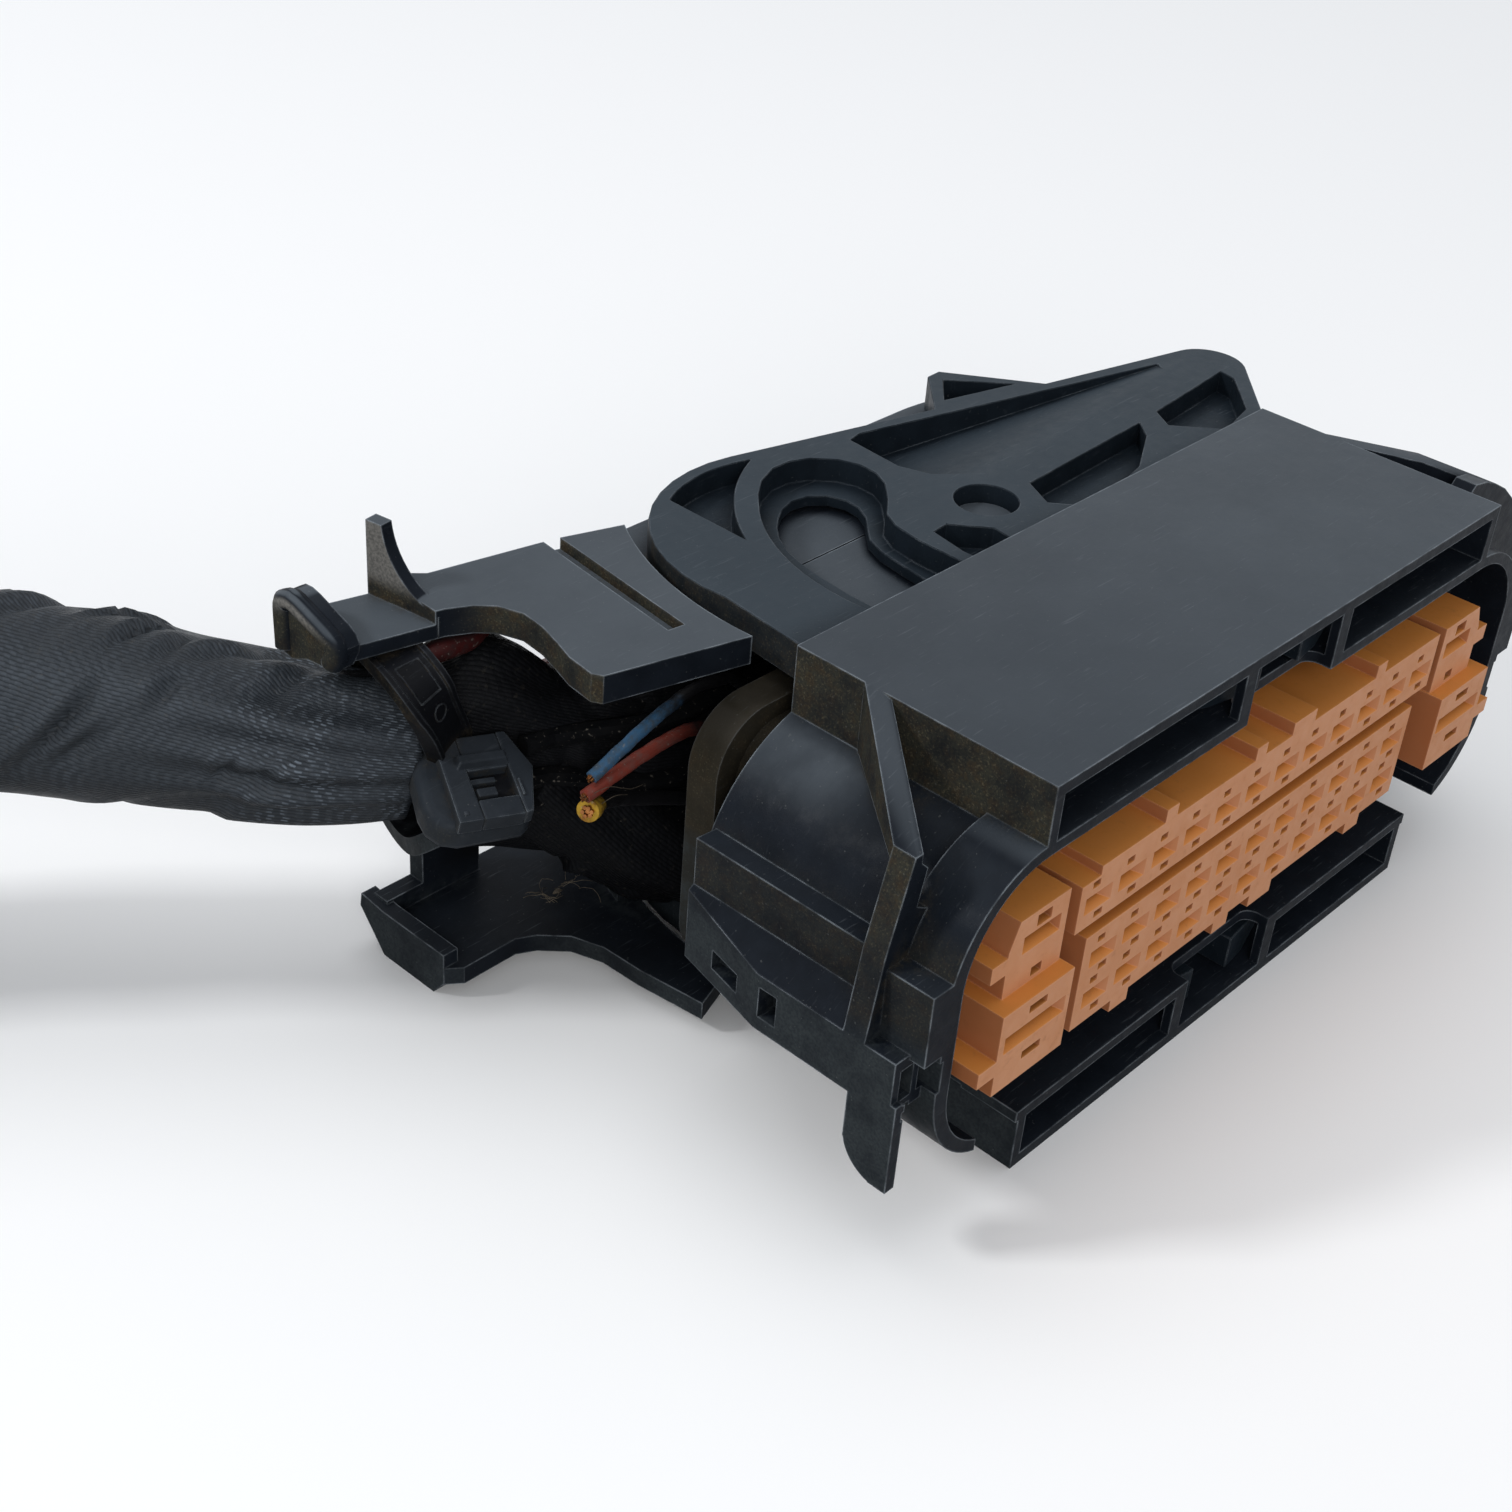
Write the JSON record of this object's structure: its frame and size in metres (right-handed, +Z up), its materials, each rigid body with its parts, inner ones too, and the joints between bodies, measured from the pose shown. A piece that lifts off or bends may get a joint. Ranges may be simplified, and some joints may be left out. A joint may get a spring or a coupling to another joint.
{
  "type": "sealed lever wire harness connector",
  "caption": "Sealed plug of an anti-lock brake module: black hood round an orange contact carrier, swing-over cam lever, rear wire cover and a taped loom cut short.",
  "frame": {"origin": "Middle of the mating face, on the middle plane of the hood.", "axes": "+X along the contact rows to the right seen from the mating side, -Y the way the plug pushes on to its header, +Z up through the upper row."},
  "size_m": [0.1186, 0.0722, 0.0243],
  "materials": {
    "black_nylon": "satin glass-filled nylon, dusty and edge-worn",
    "orange_nylon": "satin",
    "seal_rubber": "matt",
    "tin": "tinned",
    "blue_insulation": "satin",
    "red_insulation": "satin",
    "yellow_insulation": "satin",
    "green_insulation": "satin",
    "brown_insulation": "satin",
    "black_insulation": "satin",
    "power_insulation": "satin",
    "tie_nylon": "smooth, a little translucent",
    "cloth_tape": "woven harness tape"
  },
  "bodies": {
    "housing": {"shell": "black_nylon", "contact_carrier": "orange_nylon", "perimeter_seal": "seal_rubber", "wire_seal": "seal_rubber", "seal_retainer": "black_nylon", "wire_cover": "black_nylon", "upper_row_contacts": "tin", "middle_row_contacts": "tin", "lower_row_contacts": "tin", "power_contacts": "tin", "cavity_plugs": "seal_rubber", "blue_wire": "blue_insulation", "red_wire": "red_insulation", "yellow_wire": "yellow_insulation", "green_wires": "green_insulation", "brown_wires": "brown_insulation", "black_wires": "black_insulation", "power_wires": "power_insulation", "cable_tie": "tie_nylon", "taped_loom": "cloth_tape"},
    "lever": {"lever": "black_nylon"}
  },
  "joints": [
    {"name": "lever_pivot", "type": "hinge", "parent": "housing", "child": "lever", "pos_m": [0, 0.0183, 0], "axis": [0, 0, 1], "range_deg": [0, 118]}
  ]
}
